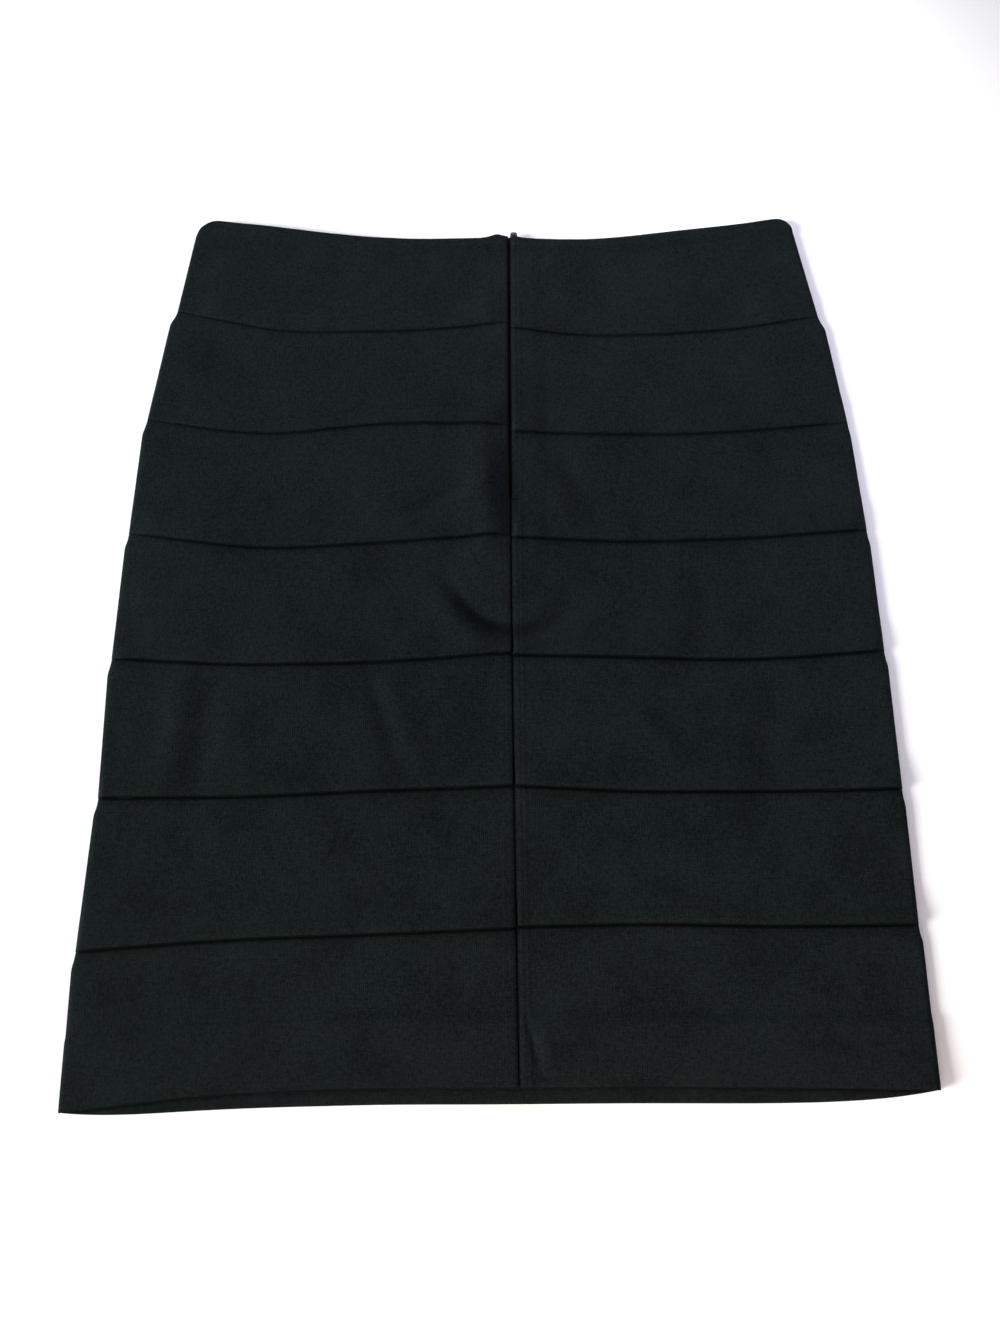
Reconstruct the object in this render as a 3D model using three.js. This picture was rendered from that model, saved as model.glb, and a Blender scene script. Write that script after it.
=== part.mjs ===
import * as THREE from 'three';

// A straight banded skirt in heavy knit, laid flat with its front down and its back up.
// Sizes are millimetres. X runs across, Y from hem to waist, Z up from the surface it lies on.
const cloth = 1.2; // one layer of the knit
const gap = 0.3; // air between neighbouring pieces
const lap = 9; // a band lies this far over the next one down
const edgeFold = 0.7; // extra thickness of a band's folded lower edge
const foldWidth = 8; // width of that folded edge
const lapSlope = 14; // length over which a band climbs onto the one below it
const hemTurn = 35; // turned-up hem of the lowest band
const waistTurn = 8; // turned-in edge at the waist
const turnSlope = 3; // length of the soft ledge where a turned edge ends
const shoulder = 5; // a band widens over this length, just under the band above
const shoulderHidden = 1; // and over this much that the band above still hides
const tuck = 2.2; // a band's hidden top strip lies this far inside the band above
const sideRoll = 3.8; // width of the rounded roll along a side seam
const rollInside = 1.9; // the roll's inner face reaches its full height here
const edgeRoll = 1.8; // width of the rounding of a folded edge
const edgeThin = 0.3; // share of its thickness that a folded edge keeps at its very end
const cornerRadius = 9; // rounding of the waist at the side seams
const frontDrop = 8; // the front lies this much nearer the hem in its middle
const frontDropWaist = -2.8; // at the waist it stands out past the back instead
const frontDropPower = 6; // how late towards the sides that drop fades
const frontRamp = 6; // length over which a front band rises onto the band above
const floorRound = 0.4; // rounding of the front's free edges, up and in
const floorRoundWidth = 1;
const foldFade = 15; // soft folds flatten this near a side seam
const seamTop = 6; // the centre seam's place at the waist, right of the middle
const seamLow = 10; // and at the hem
const seamDip = 0.5; // both halves dip this much where they meet in the seam
const seamDipWidth = 1;
// The waist edge rises in a small hump beside the zip: its height, its place out from the seam, its width
const waistHump = {
  left: { rise: 2, place: 7.5, width: 4.5 },
  right: { rise: 2.2, place: 0, width: 9 },
};

// The concealed zip
const zip = {
  end: 70, // lower end of the part that opens, along Y
  tail: 10, // tape below that end
  tapeInner: 1.5,
  tapeOuter: 12,
  thick: 1,
  coil: 1.2, // half the coil's width
  coilRound: 0.3, // the coil's edges are thinner by this share above and below
  steps: 8, // along its length
  top: 4.2, // tapes and coil stop this far below the waist edge
  raiseNear: 13, // the cloth lies raised over the tapes up to here, then slopes
  raiseFar: 24,
  fade: 33,
};
// Its slider, from the waist edge at the seam; it leans to the right
const slider = { width: 5.2, tail: 3.8, crown: 3.6, rise: 2.9, edge: 0.4, bevel: 0.35, lean: 3.2 };

// Places in from a folded edge and in from a side seam, on a wall's face and on its back
const edgePlaces = [
  { face: 0, back: 0.5 },
  { face: 0.5, back: 0.8 },
  { face: edgeRoll, back: edgeRoll },
];
const rollPlaces = [
  { face: 0, back: cloth },
  { face: 0.5, back: 1.3 },
  { face: 1.6, back: rollInside },
  { face: sideRoll, back: sideRoll },
  { face: 2 * sideRoll, back: 2 * sideRoll },
];
const seamPlaces = [0, 1.5, 7, zip.raiseNear, zip.raiseFar]; // out from the centre seam
const backShares = [0.23, 0.36, 0.49, 0.62, 0.75, 0.87]; // shares of a half's width
const frontShares = [0.1, 0.2, 0.3, 0.4, 0.5, 0.6, 0.7, 0.8, 0.9]; // shares of the front's width
const frontInsets = [0, floorRoundWidth, 2 * sideRoll]; // in from the front's side seams
const upperPlaces = [22, waistTurn + turnSlope, shoulder]; // down from a band's upper line

// The sides of each band, measured out from the middle line: just under its upper line and just over
// its lower one. The first row is the band at the waist.
const sides = [
  { left_top: 204, left_low: 212, right_top: 196.5, right_low: 208.7 },
  { left_top: 214.9, left_low: 223.4, right_top: 211.5, right_low: 219.9 },
  { left_top: 225.3, left_low: 226.4, right_top: 220.6, right_low: 224 },
  { left_top: 227.9, left_low: 227.6, right_top: 225, right_low: 225.8 },
  { left_top: 229.3, left_low: 225.8, right_top: 227, right_low: 226.6 },
  { left_top: 227, left_low: 227.9, right_top: 227.4, right_low: 226.6 },
  { left_top: 229.4, left_low: 226.3, right_top: 227.9, right_low: 227.3 },
];

// Where the lines across the back lie along Y: the waist edge, the lower edges of the bands, the hem.
// Each half is given at its side, two places between, and the centre seam.
const lines = [
  { side_left: 278, outer_left: 268.5, inner_left: 262.6, seam_left: 264.3,
    seam_right: 262, inner_right: 262.2, outer_right: 270, side_right: 279.5 },
  { side_left: 206, outer_left: 190.8, inner_left: 190.3, seam_left: 197,
    seam_right: 192.8, inner_right: 186.8, outer_right: 190.5, side_right: 202 },
  { side_left: 124.5, outer_left: 115, inner_left: 121.5, seam_left: 121.2,
    seam_right: 116.2, inner_right: 114.3, outer_right: 115.6, side_right: 123.3 },
  { side_left: 46, outer_left: 36.6, inner_left: 39.8, seam_left: 45,
    seam_right: 43.2, inner_right: 40.7, outer_right: 42.8, side_right: 48.2 },
  { side_left: -34.2, outer_left: -38.1, inner_left: -36.2, seam_left: -30.8,
    seam_right: -32, inner_right: -33.7, outer_right: -34.5, side_right: -29.3 },
  { side_left: -116.5, outer_left: -115.9, inner_left: -112.7, seam_left: -109.5,
    seam_right: -109.5, inner_right: -112.8, outer_right: -112.6, side_right: -111.2 },
  { side_left: -199.7, outer_left: -193.7, inner_left: -190.7, seam_left: -187.3,
    seam_right: -186.5, inner_right: -185.2, outer_right: -186.2, side_right: -185.3 },
  { side_left: -279.5, outer_left: -271, inner_left: -268, seam_left: -267.5,
    seam_right: -267.5, inner_right: -267, outer_right: -267.5, side_right: -268.5 },
];

// The largest soft folds of the back as it lies: middle, half length, half width, turn in degrees, rise
const folds = [
  { x: -56, y: 84, long: 44, wide: 22, turn: -12, rise: 3.0 },
  { x: -11, y: 80, long: 36, wide: 13, turn: 97, rise: 4.6 },
  { x: 2, y: 22, long: 22, wide: 13, turn: -40, rise: 1.6 },
  { x: -27, y: -9, long: 24, wide: 9, turn: -44, rise: 2.7 },
  { x: -186, y: -76, long: 38, wide: 9, turn: 84, rise: 1.7 },
  { x: -168, y: -80, long: 36, wide: 8, turn: 84, rise: -1.1 },
  { x: 104, y: 0, long: 30, wide: 10, turn: 78, rise: 0.5 },
  { x: 121, y: -2, long: 28, wide: 10, turn: 78, rise: -0.8 },
  { x: 138, y: -78, long: 30, wide: 10, turn: 80, rise: 0.6 },
  { x: 154, y: -80, long: 26, wide: 9, turn: 80, rise: -0.9 },
  { x: 141, y: 176, long: 44, wide: 12, turn: 5, rise: 1.1 },
  { x: -110, y: -232, long: 60, wide: 16, turn: 4, rise: 0.8 },
];

const bandCount = sides.length;
const layer = cloth + gap;
const backFloor = 2 * layer; // underside of the back where it lies over a lap of the front
const { lerp, clamp, smoothstep, degToRad } = THREE.MathUtils;

// A smooth curve through evenly spaced values, t from 0 to 1
function through(values, t) {
  const last = values.length - 1;
  const place = clamp(t, 0, 1) * last;
  const i = Math.min(Math.floor(place), last - 1);
  const f = place - i;
  const before = i > 0 ? values[i - 1] : 2 * values[0] - values[1];
  const after = i < last - 1 ? values[i + 2] : 2 * values[last] - values[last - 1];
  const rise = values[i + 1] - values[i];
  const slopeIn = (values[i + 1] - before) / 2;
  const slopeOut = (after - values[i]) / 2;
  const bend = f * (1 - f);
  return values[i] + rise * f * f * (3 - 2 * f) + bend * ((1 - f) * slopeIn - f * slopeOut);
}

// A quarter round: 0 at the edge, 1 from the given width inwards
function quarterRound(distance, width) {
  const f = clamp(1 - distance / width, 0, 1);
  return Math.sqrt(1 - f * f);
}

// Lines across the back and the front
function backLine(hand, line, u) {
  const row = lines[line];
  const knots = hand < 0
    ? [row.seam_left, row.inner_left, row.outer_left, row.side_left]
    : [row.seam_right, row.inner_right, row.outer_right, row.side_right];
  return through(knots, u);
}

function frontLine(line, t) {
  const row = lines[line];
  const middle = (row.seam_left + row.seam_right) / 2;
  const knots = [row.side_left, row.outer_left, row.inner_left, middle,
    row.inner_right, row.outer_right, row.side_right];
  const drop = line > 0 ? frontDrop : frontDropWaist;
  return through(knots, t) - drop * (1 - (2 * t - 1) ** frontDropPower);
}

// The side outline of a band at a height y, out from the middle line
function bandSide(hand, band, y) {
  const row = sides[band];
  const upper = backLine(hand, band, 1);
  const lower = backLine(hand, band + 1, 1);
  const f = (y - lower) / (upper - lower);
  return hand < 0 ? lerp(row.left_low, row.left_top, f) : lerp(row.right_low, row.right_top, f);
}

function sideX(hand, band, y) {
  const below = backLine(hand, band, 1) - y;
  const own = bandSide(hand, band, y);
  if (band === 0) {
    return hand * (own - cornerRadius * (1 - quarterRound(below, cornerRadius)));
  }
  const hidden = bandSide(hand, band - 1, y) - tuck;
  return hand * lerp(hidden, own, smoothstep(below, -shoulderHidden, shoulder));
}

function seamX(y) {
  const top = lines[0].seam_right;
  const down = (top - y) / (top - lines[bandCount].seam_right);
  return seamTop + (seamLow - seamTop) * down * Math.abs(down);
}

// Extra thickness of a turned edge, at a distance in from that edge
function turned(distance, width) {
  return cloth * (1 - smoothstep(distance, width - turnSlope, width + turnSlope));
}

// How far a front band's underside lies above the floor, and its thickness
function frontLift(band, below) {
  return band > 0 ? layer * (1 - smoothstep(below, 2 * gap, frontRamp)) : 0;
}

function frontThickness(band, above, below) {
  const atHem = band === bandCount - 1 ? turned(above, hemTurn) : 0;
  const atWaist = band === 0 ? turned(below, waistTurn) : 0;
  return cloth + atHem + atWaist;
}

// Underside and thickness of the back, away from its edges
function backUnder(band, above) {
  const overlap = band < bandCount - 1 ? 1 - smoothstep(above, lap + 1, lap + 1 + lapSlope) : 0;
  return backFloor + layer * overlap;
}

function backThickness(band, above, below) {
  const atWaist = band === 0 ? turned(below, waistTurn) : 0;
  if (band === bandCount - 1) {
    return cloth + turned(above, hemTurn) + atWaist;
  }
  return cloth + edgeFold * (1 - smoothstep(above, foldWidth - turnSlope, foldWidth + turnSlope)) + atWaist;
}

// The back lies raised over the zip, and in soft folds
function zipRaise(fromSeam, y) {
  const across = 1 - smoothstep(fromSeam, zip.raiseNear, zip.raiseFar);
  const along = smoothstep(y, zip.end - zip.tail - zip.fade, zip.end - zip.tail);
  return (zip.thick + gap) * across * along;
}

function foldHeight(x, y) {
  let height = 0;
  for (const fold of folds) {
    const angle = degToRad(fold.turn);
    const along = ((x - fold.x) * Math.cos(angle) + (y - fold.y) * Math.sin(angle)) / fold.long;
    const across = ((y - fold.y) * Math.cos(angle) - (x - fold.x) * Math.sin(angle)) / fold.wide;
    height += fold.rise * Math.exp(-along * along - across * across);
  }
  return height;
}

// A closed wall between two grids of points: rows run up Y, columns along X, the upper grid on top
function wall(upper, lower) {
  const rows = upper.length;
  const columns = upper[0].length;
  const points = [...upper.flat(), ...lower.flat()];
  const index = [];
  const at = (side, row, column) => side * rows * columns + row * columns + column;
  const quad = (a, b, c, d) => index.push(a, b, c, a, c, d);
  for (let r = 0; r < rows - 1; r += 1) {
    for (let c = 0; c < columns - 1; c += 1) {
      quad(at(0, r, c), at(0, r, c + 1), at(0, r + 1, c + 1), at(0, r + 1, c));
      quad(at(1, r, c), at(1, r + 1, c), at(1, r + 1, c + 1), at(1, r, c + 1));
    }
  }
  for (let c = 0; c < columns - 1; c += 1) {
    const top = rows - 1;
    quad(at(1, 0, c), at(1, 0, c + 1), at(0, 0, c + 1), at(0, 0, c));
    quad(at(1, top, c + 1), at(1, top, c), at(0, top, c), at(0, top, c + 1));
  }
  for (let r = 0; r < rows - 1; r += 1) {
    const right = columns - 1;
    quad(at(1, r + 1, 0), at(1, r, 0), at(0, r, 0), at(0, r + 1, 0));
    quad(at(1, r, right), at(1, r + 1, right), at(0, r + 1, right), at(0, r, right));
  }
  const geometry = new THREE.BufferGeometry().setFromPoints(points);
  geometry.setIndex(index);
  geometry.computeVertexNormals();
  return geometry;
}

// Rows of a back band: some counted up from its lower line, some down from its upper one. Each has its
// place on the upper face and on the lower one, which lies a little further in at an edge.
function backRows(band) {
  const same = (distance) => ({ face: distance, back: distance });
  const ledge = band < bandCount - 1
    ? [lap + 1, lap + 1 + lapSlope]
    : [hemTurn - turnSlope, hemTurn + turnSlope];
  const up = [...edgePlaces, ...[foldWidth / 2, ...ledge].map(same)];
  const top = band === 0 ? [...edgePlaces].reverse() : [edgeRoll, gap, -lap].map(same);
  const down = [...upperPlaces.map(same), ...top];
  return [
    ...up.map((row) => ({ from: 'lower', ...row })),
    { from: 'middle', ...same(0) },
    ...down.map((row) => ({ from: 'upper', ...row })),
  ];
}

// Columns of a back half, from the seam to the side
function backColumns() {
  const place = (from) => (distance) => ({ from, face: distance, back: distance });
  return [
    ...seamPlaces.map(place('seam')),
    ...backShares.map(place('width')),
    ...rollPlaces.map((column) => ({ from: 'side', ...column })).reverse(),
  ];
}

function rowHeight(row, hand, band, u, face) {
  const lower = backLine(hand, band + 1, u);
  const upper = backLine(hand, band, u);
  if (row.from === 'lower') {
    return lower + row[face];
  }
  return row.from === 'upper' ? upper - row[face] : (lower + upper) / 2;
}

// One point of a back band
function backPoint(hand, band, row, column, face) {
  const seam = seamX(rowHeight(row, hand, band, 0, face)) + hand * gap / 2;
  const side = sideX(hand, band, rowHeight(row, hand, band, 1, face));
  const width = Math.abs(side - seam);
  const across = { seam: column[face], width: column[face] * width, side: width - column[face] };
  const fromSeam = across[column.from];
  const fromSide = width - fromSeam;
  const u = fromSeam / width;
  const x = seam + hand * fromSeam;
  let y = rowHeight(row, hand, band, u, face);
  const above = y - backLine(hand, band + 1, u);
  const below = backLine(hand, band, u) - y;
  if (band === 0) {
    const hump = hand < 0 ? waistHump.left : waistHump.right;
    const rise = hump.rise * Math.exp(-(((fromSeam - hump.place) / hump.width) ** 2));
    y += rise * (1 - smoothstep(below, 0, waistTurn));
  }
  const lift = foldHeight(x, y) * quarterRound(fromSide, foldFade) + zipRaise(fromSeam, y);
  const rim = frontLift(band, below) + frontThickness(band, above, below) + gap;
  const under = backUnder(band, above) + lift;
  if (face === 'back') {
    return new THREE.Vector3(x, y, lerp(rim, under, smoothstep(fromSide, cloth, rollInside)));
  }
  const edge = Math.min(quarterRound(above, edgeRoll), band === 0 ? quarterRound(below, edgeRoll) : 1);
  const thickness = backThickness(band, above, below) * lerp(edgeThin, 1, edge);
  const plateau = under + thickness - seamDip * Math.exp(-fromSeam / seamDipWidth);
  return new THREE.Vector3(x, y, lerp(rim, plateau, quarterRound(fromSide, sideRoll)));
}

function backBand(hand, band) {
  const columns = hand < 0 ? backColumns().reverse() : backColumns();
  const grid = (face) => backRows(band).map(
    (row) => columns.map((column) => backPoint(hand, band, row, column, face)));
  return wall(grid('face'), grid('back'));
}

// One point of a front band: its underside rests on the floor apart from its hidden top strip
function frontPoint(band, row, column, face) {
  const heightAt = (t) => {
    const lower = frontLine(band + 1, t);
    const upper = frontLine(band, t);
    if (row.from === 'lower') {
      return lower + row.at;
    }
    return row.from === 'upper' ? upper - row.at : (lower + upper) / 2;
  };
  const left = sideX(-1, band, heightAt(0));
  const right = sideX(1, band, heightAt(1));
  const t = clamp(column.share + column.inset / (right - left), 0, 1);
  const y = heightAt(t);
  const above = y - frontLine(band + 1, t);
  const below = frontLine(band, t) - y;
  const fromSide = Math.min(t, 1 - t) * (right - left);
  const edge = Math.min(quarterRound(above, floorRoundWidth), quarterRound(fromSide, floorRoundWidth));
  const round = floorRound * (1 - edge);
  const lift = frontLift(band, below);
  const z = face === 'face' ? lift + frontThickness(band, above, below) - round : lift + round;
  return new THREE.Vector3(lerp(left, right, t), y, z);
}

function frontBand(band) {
  const rows = [
    { from: 'lower', at: 0 }, { from: 'lower', at: floorRoundWidth },
    ...(band < bandCount - 1 ? [] : [hemTurn - turnSlope, hemTurn + turnSlope]
      .map((at) => ({ from: 'lower', at }))),
    { from: 'middle', at: 0 },
    ...(band > 0 ? [frontRamp, frontRamp / 2, 2 * gap, -lap] : [waistTurn + turnSlope, waistTurn / 2, 0])
      .map((at) => ({ from: 'upper', at })),
  ];
  const columns = [
    ...frontInsets.map((inset) => ({ share: 0, inset })),
    ...frontShares.map((share) => ({ share, inset: 0 })),
    ...frontInsets.map((inset) => ({ share: 1, inset: -inset })).reverse(),
  ];
  const grid = (face) => rows.map((row) => columns.map((column) => frontPoint(band, row, column, face)));
  return wall(grid('face'), grid('back'));
}

// A strip of the zip that follows the centre seam: offsets across, each with its upper and lower face
function zipStrip(across, lowEnd) {
  const high = lines[0].seam_left - zip.top;
  const row = (face) => (_, step) => {
    const y = lerp(lowEnd, high, step / zip.steps);
    return across.map((point) => new THREE.Vector3(seamX(y) + point.x, y, backFloor + point[face]));
  };
  const grid = (face) => Array.from({ length: zip.steps + 1 }, row(face));
  return wall(grid('top'), grid('low'));
}

function zipTape(hand) {
  const across = [zip.tapeInner, zip.tapeOuter].map((x) => ({ x: hand * x, top: zip.thick, low: 0 }));
  return zipStrip(hand < 0 ? across.reverse() : across, zip.end - zip.tail);
}

function zipCoil() {
  const across = [-1, 0, 1].map((side) => ({
    x: side * zip.coil,
    top: zip.thick * (side === 0 ? 1 : 1 - zip.coilRound),
    low: zip.thick * (side === 0 ? 0 : zip.coilRound),
  }));
  return zipStrip(across, zip.end - zip.tail / 2);
}

// The slider: a thin tail under the cloth and a crown that stands over the waist edge
function zipSlider() {
  const profile = new THREE.Shape();
  profile.moveTo(-slider.tail, 0);
  profile.lineTo(slider.crown, 0);
  profile.lineTo(slider.crown, slider.rise / 2);
  profile.quadraticCurveTo(slider.crown, slider.rise, slider.crown / 2, slider.rise);
  profile.lineTo(slider.edge, slider.rise);
  profile.lineTo(slider.edge, zip.thick);
  profile.lineTo(-slider.tail, zip.thick);
  profile.closePath();
  const geometry = new THREE.ExtrudeGeometry(profile, {
    depth: slider.width - 2 * slider.bevel, steps: 1, curveSegments: 4,
    bevelEnabled: true, bevelSegments: 2, bevelSize: slider.bevel, bevelOffset: -slider.bevel,
    bevelThickness: slider.bevel,
  });
  geometry.translate(0, 0, slider.bevel - slider.width / 2);
  const axes = new THREE.Matrix4().makeBasis(
    new THREE.Vector3(0, 1, 0), new THREE.Vector3(0, 0, 1), new THREE.Vector3(1, 0, 0));
  return geometry.applyMatrix4(axes);
}

function mesh(name, geometry, color, roughness, metalness) {
  const material = new THREE.MeshStandardMaterial({ color, roughness, metalness });
  const piece = new THREE.Mesh(geometry, material);
  piece.name = name;
  return piece;
}

function clothMesh(name, geometry) {
  return mesh(name, geometry, 0x1b1f22, 0.9, 0);
}

const skirt = new THREE.Group();
for (let band = 0; band < bandCount; band += 1) {
  skirt.add(clothMesh(`front_band_${band + 1}`, frontBand(band)));
  skirt.add(clothMesh(`back_left_band_${band + 1}`, backBand(-1, band)));
  skirt.add(clothMesh(`back_right_band_${band + 1}`, backBand(1, band)));
}
skirt.add(mesh('zip_tape_left', zipTape(-1), 0x17191b, 0.85, 0));
skirt.add(mesh('zip_tape_right', zipTape(1), 0x17191b, 0.85, 0));
skirt.add(mesh('zip_coil', zipCoil(), 0x101112, 0.45, 0));

const sliderPiece = mesh('zip_slider', zipSlider(), 0x1d1f21, 0.4, 0.3);
const waist = lines[0].seam_left;
sliderPiece.position.set(seamX(waist) + slider.lean, waist, backFloor);
skirt.add(sliderPiece);

// The origin is the middle of the underside
const box = new THREE.Box3().setFromObject(skirt);
skirt.position.set(-(box.min.x + box.max.x) / 2, -(box.min.y + box.max.y) / 2, -box.min.z);

export default skirt;
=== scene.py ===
"""A banded knit pencil skirt laid flat with its back up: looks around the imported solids."""

import math

import bpy
import numpy as np
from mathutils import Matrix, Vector


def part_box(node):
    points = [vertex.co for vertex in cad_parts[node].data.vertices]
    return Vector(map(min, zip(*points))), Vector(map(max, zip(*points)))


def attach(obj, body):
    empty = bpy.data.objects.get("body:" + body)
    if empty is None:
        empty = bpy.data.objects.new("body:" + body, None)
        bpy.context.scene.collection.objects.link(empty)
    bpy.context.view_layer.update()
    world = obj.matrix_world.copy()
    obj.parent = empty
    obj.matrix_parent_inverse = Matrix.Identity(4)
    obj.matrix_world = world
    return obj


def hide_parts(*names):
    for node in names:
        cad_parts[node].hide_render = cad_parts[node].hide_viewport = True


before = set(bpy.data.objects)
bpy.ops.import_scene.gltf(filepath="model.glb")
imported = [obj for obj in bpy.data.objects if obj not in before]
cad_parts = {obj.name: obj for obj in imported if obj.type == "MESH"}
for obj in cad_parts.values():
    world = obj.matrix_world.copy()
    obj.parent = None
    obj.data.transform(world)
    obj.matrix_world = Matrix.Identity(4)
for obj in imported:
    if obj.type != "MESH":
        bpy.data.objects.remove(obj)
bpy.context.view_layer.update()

# The skirt's own sizes, in millimetres, on the surface it lies on: X across, Y from hem to waist, Z up
MM = 0.001
CLOTH = 1.2  # one layer of the knit
GAP = 0.3  # air between neighbouring pieces
LAYER = CLOTH + GAP
BACK_FLOOR = 2 * LAYER  # underside of the back
LAP = 9  # a band lies this far over the next one down
EDGE_FOLD = 0.7  # extra thickness of a band's folded lower edge
EDGE_BEAD = {"in": 2.8, "width": 1.6, "rise": 0.38}  # the fold swells a little just above its edge
FOLD_WIDTH = 8  # depth of that folded edge
LAP_SLOPE = 14  # length over which a band climbs onto the one below
LAP_CLEAR = 1  # the climb starts this far past the lap
HEM_TURN = 35  # depth of the turned-up hem
HEM_LIFT = {"rise": 0.9, "width": 28}  # the back's hem stands a little off the front
WAIST_TURN = 8  # depth of the turned-in waist edge
TURN_SLOPE = 3  # a turning thins out within this distance of its depth, either side
SHOULDER = 11  # a band widens over this length, just under the band above
SHOULDER_HIDDEN = 1  # and starts to widen this far under it
TUCK = 0.7  # hidden there, it is this much narrower than the band above
SIDE_ROLL = 3.8  # width of the rounded roll along a side seam
ROLL_INSIDE = 2.6  # the roll's inner face reaches its full height here
EDGE_ROLL = 1.4  # width of the rounding of a folded edge
EDGE_KEEP = 0.15  # share of its thickness that a rounded edge keeps at its very end
CORNER_RADIUS = {"left": 13, "right": 9}
FRONT_DROP = 8  # the front lies this much nearer the hem in its middle
FRONT_DROP_WAIST = -2.8  # at the waist it stands out past the back instead
FRONT_DROP_POWER = 6  # a higher power keeps the drop even further out
FRONT_RAMP = 6  # the hidden top of a front band rises over the fold above it in this length
FOLD_FADE = 15  # soft folds flatten this near a side seam
SEAM_TOP = 6  # the centre seam lies this far to the right at the waist
SEAM_LOW = 10  # and this far at the hem
SEAM_DIP = {"depth": 0.35, "width": 1.0}  # the cloth falls a little into the seam
# A small hump of the waist edge on each side of the zip, placed out from the seam
WAIST_HUMP = {
    "left": {"rise": 2, "place": 7.5, "width": 4.5},
    "right": {"rise": 2.2, "place": 0, "width": 9},
}
STRIP = 0.3  # the hidden top strip of a band is pressed to this thickness
STRIP_HIDDEN = 1  # it starts to thicken this far under the lap
STRIP_SLOPE = 6  # and reaches its full thickness this far below it
STRIP_EDGE = 1  # a groove this wide shows just under the lap
STRIP_SHOWS = 0.5  # with this share of the strip's depth
LAPPED = 1.3  # the strip lifts the band over it by this much
PRESSED = {"edge": 0.7, "strip": 0.25, "rise": 0.5}  # the same, and the edge, where a lap line fades
# The zip along Y: the slot's end, the tail under the seam and the start under the waist edge;
# out from the seam: the edges of a tape, and where the cloth that it raises is flat again. Along
# the skirt the cloth settles over the fade, below the tail.
ZIP = {"end": 70, "tail": 10, "top": 4.2, "inner": 1.5, "outer": 12,
       "raise": 0.85, "near": 13, "far": 24, "fade": 33}
# The folded edges that meet over the zip, and the share of their rounding that the seam keeps
SLOT = {"round": 2.4, "open": 0.55, "blend": 3, "closed": 0.4}
SLIDER_LEAN = 3.2  # the slider stands this far to the right of the seam
SLIDER_CROWN = 3.6  # and this far past the waist edge there

# Outline of each band, out from the middle line: just under its upper line, just over its lower one
SIDE_COLUMNS = ("left_top", "left_low", "right_top", "right_low")
SIDES = [dict(zip(SIDE_COLUMNS, row)) for row in (
    (204, 212, 196.5, 208.7),
    (214.9, 223.4, 211.5, 219.9),
    (225.3, 226.4, 220.6, 224),
    (227.9, 227.6, 225, 225.8),
    (229.3, 225.8, 227, 226.6),
    (227, 227.9, 227.4, 226.6),
    (229.4, 226.3, 227.9, 227.3),
)]
BAND_COUNT = len(SIDES)

# Where the lines across the back lie along Y: waist edge, lower edges of the bands, hem
LINE_COLUMNS = ("side_left", "outer_left", "inner_left", "seam_left",
                "seam_right", "inner_right", "outer_right", "side_right")
LINES = [dict(zip(LINE_COLUMNS, row)) for row in (
    (278, 268.5, 262.6, 264.3, 262, 262.2, 270, 279.5),
    (206, 190.8, 190.3, 197, 192.8, 186.8, 190.5, 202),
    (124.5, 115, 121.5, 121.2, 116.2, 114.3, 115.6, 123.3),
    (46, 36.6, 39.8, 45, 43.2, 40.7, 42.8, 48.2),
    (-34.2, -38.1, -36.2, -30.8, -32, -33.7, -34.5, -29.3),
    (-116.5, -115.9, -112.7, -109.5, -109.5, -112.8, -112.6, -111.2),
    (-199.7, -193.7, -190.7, -187.3, -186.5, -185.2, -186.2, -185.3),
    (-279.5, -271, -268, -267.5, -267.5, -267, -267.5, -268.5),
)]

# Each lap line fades towards the centre seam, and towards its side seam, over these lengths, and
# stands out by its own share
FADE_COLUMNS = ("seam_left", "seam_right", "side_left", "side_right", "stand")
LINE_FADES = [dict(zip(FADE_COLUMNS, row)) for row in (
    (14, 7, 34, 26, 0.55),
    (10, 4, 44, 22, 0.7),
    (9, 4, 20, 10, 0.85),
    (0.8, 0.8, 10, 6, 0.95),
    (0.8, 0.8, 4, 4, 1.05),
    (0.8, 0.8, 4, 4, 1.15),
)]
SIDE_KEEP = 0.15  # share of a line's relief that stays at its side seam

# The largest soft folds: middle, half length, half width, turn in degrees, rise
FOLD_COLUMNS = ("x", "y", "long", "wide", "turn", "rise")
FOLDS = [dict(zip(FOLD_COLUMNS, row)) for row in (
    (-56, 84, 44, 22, -12, 3.0),
    (-11, 80, 36, 13, 97, 4.6),
    (2, 22, 22, 13, -40, 1.6),
    (-27, -9, 24, 9, -44, 2.7),
    (-186, -76, 38, 9, 84, 1.7),
    (-168, -80, 36, 8, 84, -1.1),
    (104, 0, 30, 10, 78, 0.5),
    (121, -2, 28, 10, 78, -0.8),
    (138, -78, 30, 10, 80, 0.6),
    (154, -80, 26, 9, 80, -0.9),
    (141, 176, 44, 12, 5, 1.1),
    (-110, -232, 60, 16, 4, 0.8),
)]

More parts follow.
